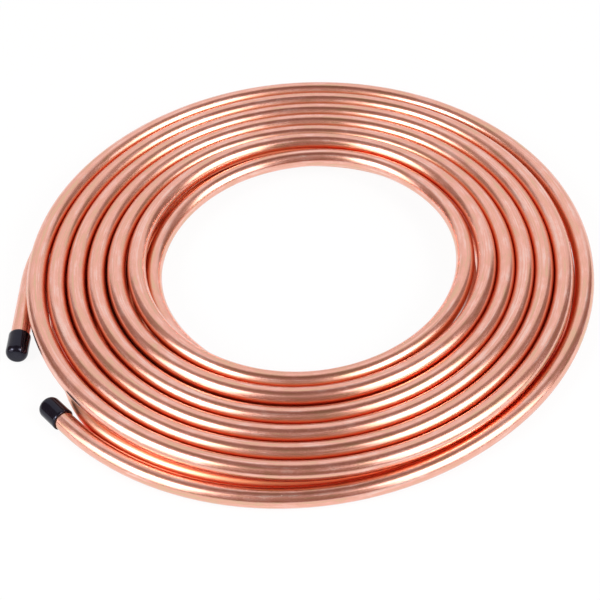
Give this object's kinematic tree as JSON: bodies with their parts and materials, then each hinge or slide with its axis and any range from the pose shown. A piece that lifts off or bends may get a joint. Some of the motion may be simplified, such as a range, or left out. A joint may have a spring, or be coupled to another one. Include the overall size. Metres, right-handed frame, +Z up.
{
  "type": "copper tube coil",
  "caption": "Long soft copper tube wound as a flat two-layer coil with an open middle, both ends outside and closed by push-on caps.",
  "frame": {"origin": "on the floor plane, below the middle of the coil's box", "axes": "+Z up along the coil's axis; +X to the right and +Y to the back as one faces the side where both capped ends lie at the left"},
  "size_m": [0.3162, 0.3092, 0.0225],
  "materials": {
    "copper": "bright drawn copper, unlacquered, with fine drawing lines along the tube",
    "black_vinyl": "dipped black vinyl, smooth and glossy"
  },
  "bodies": {
    "root": {"copper_tube": "copper", "end_cap_upper": "black_vinyl", "end_cap_lower": "black_vinyl"}
  },
  "joints": []
}
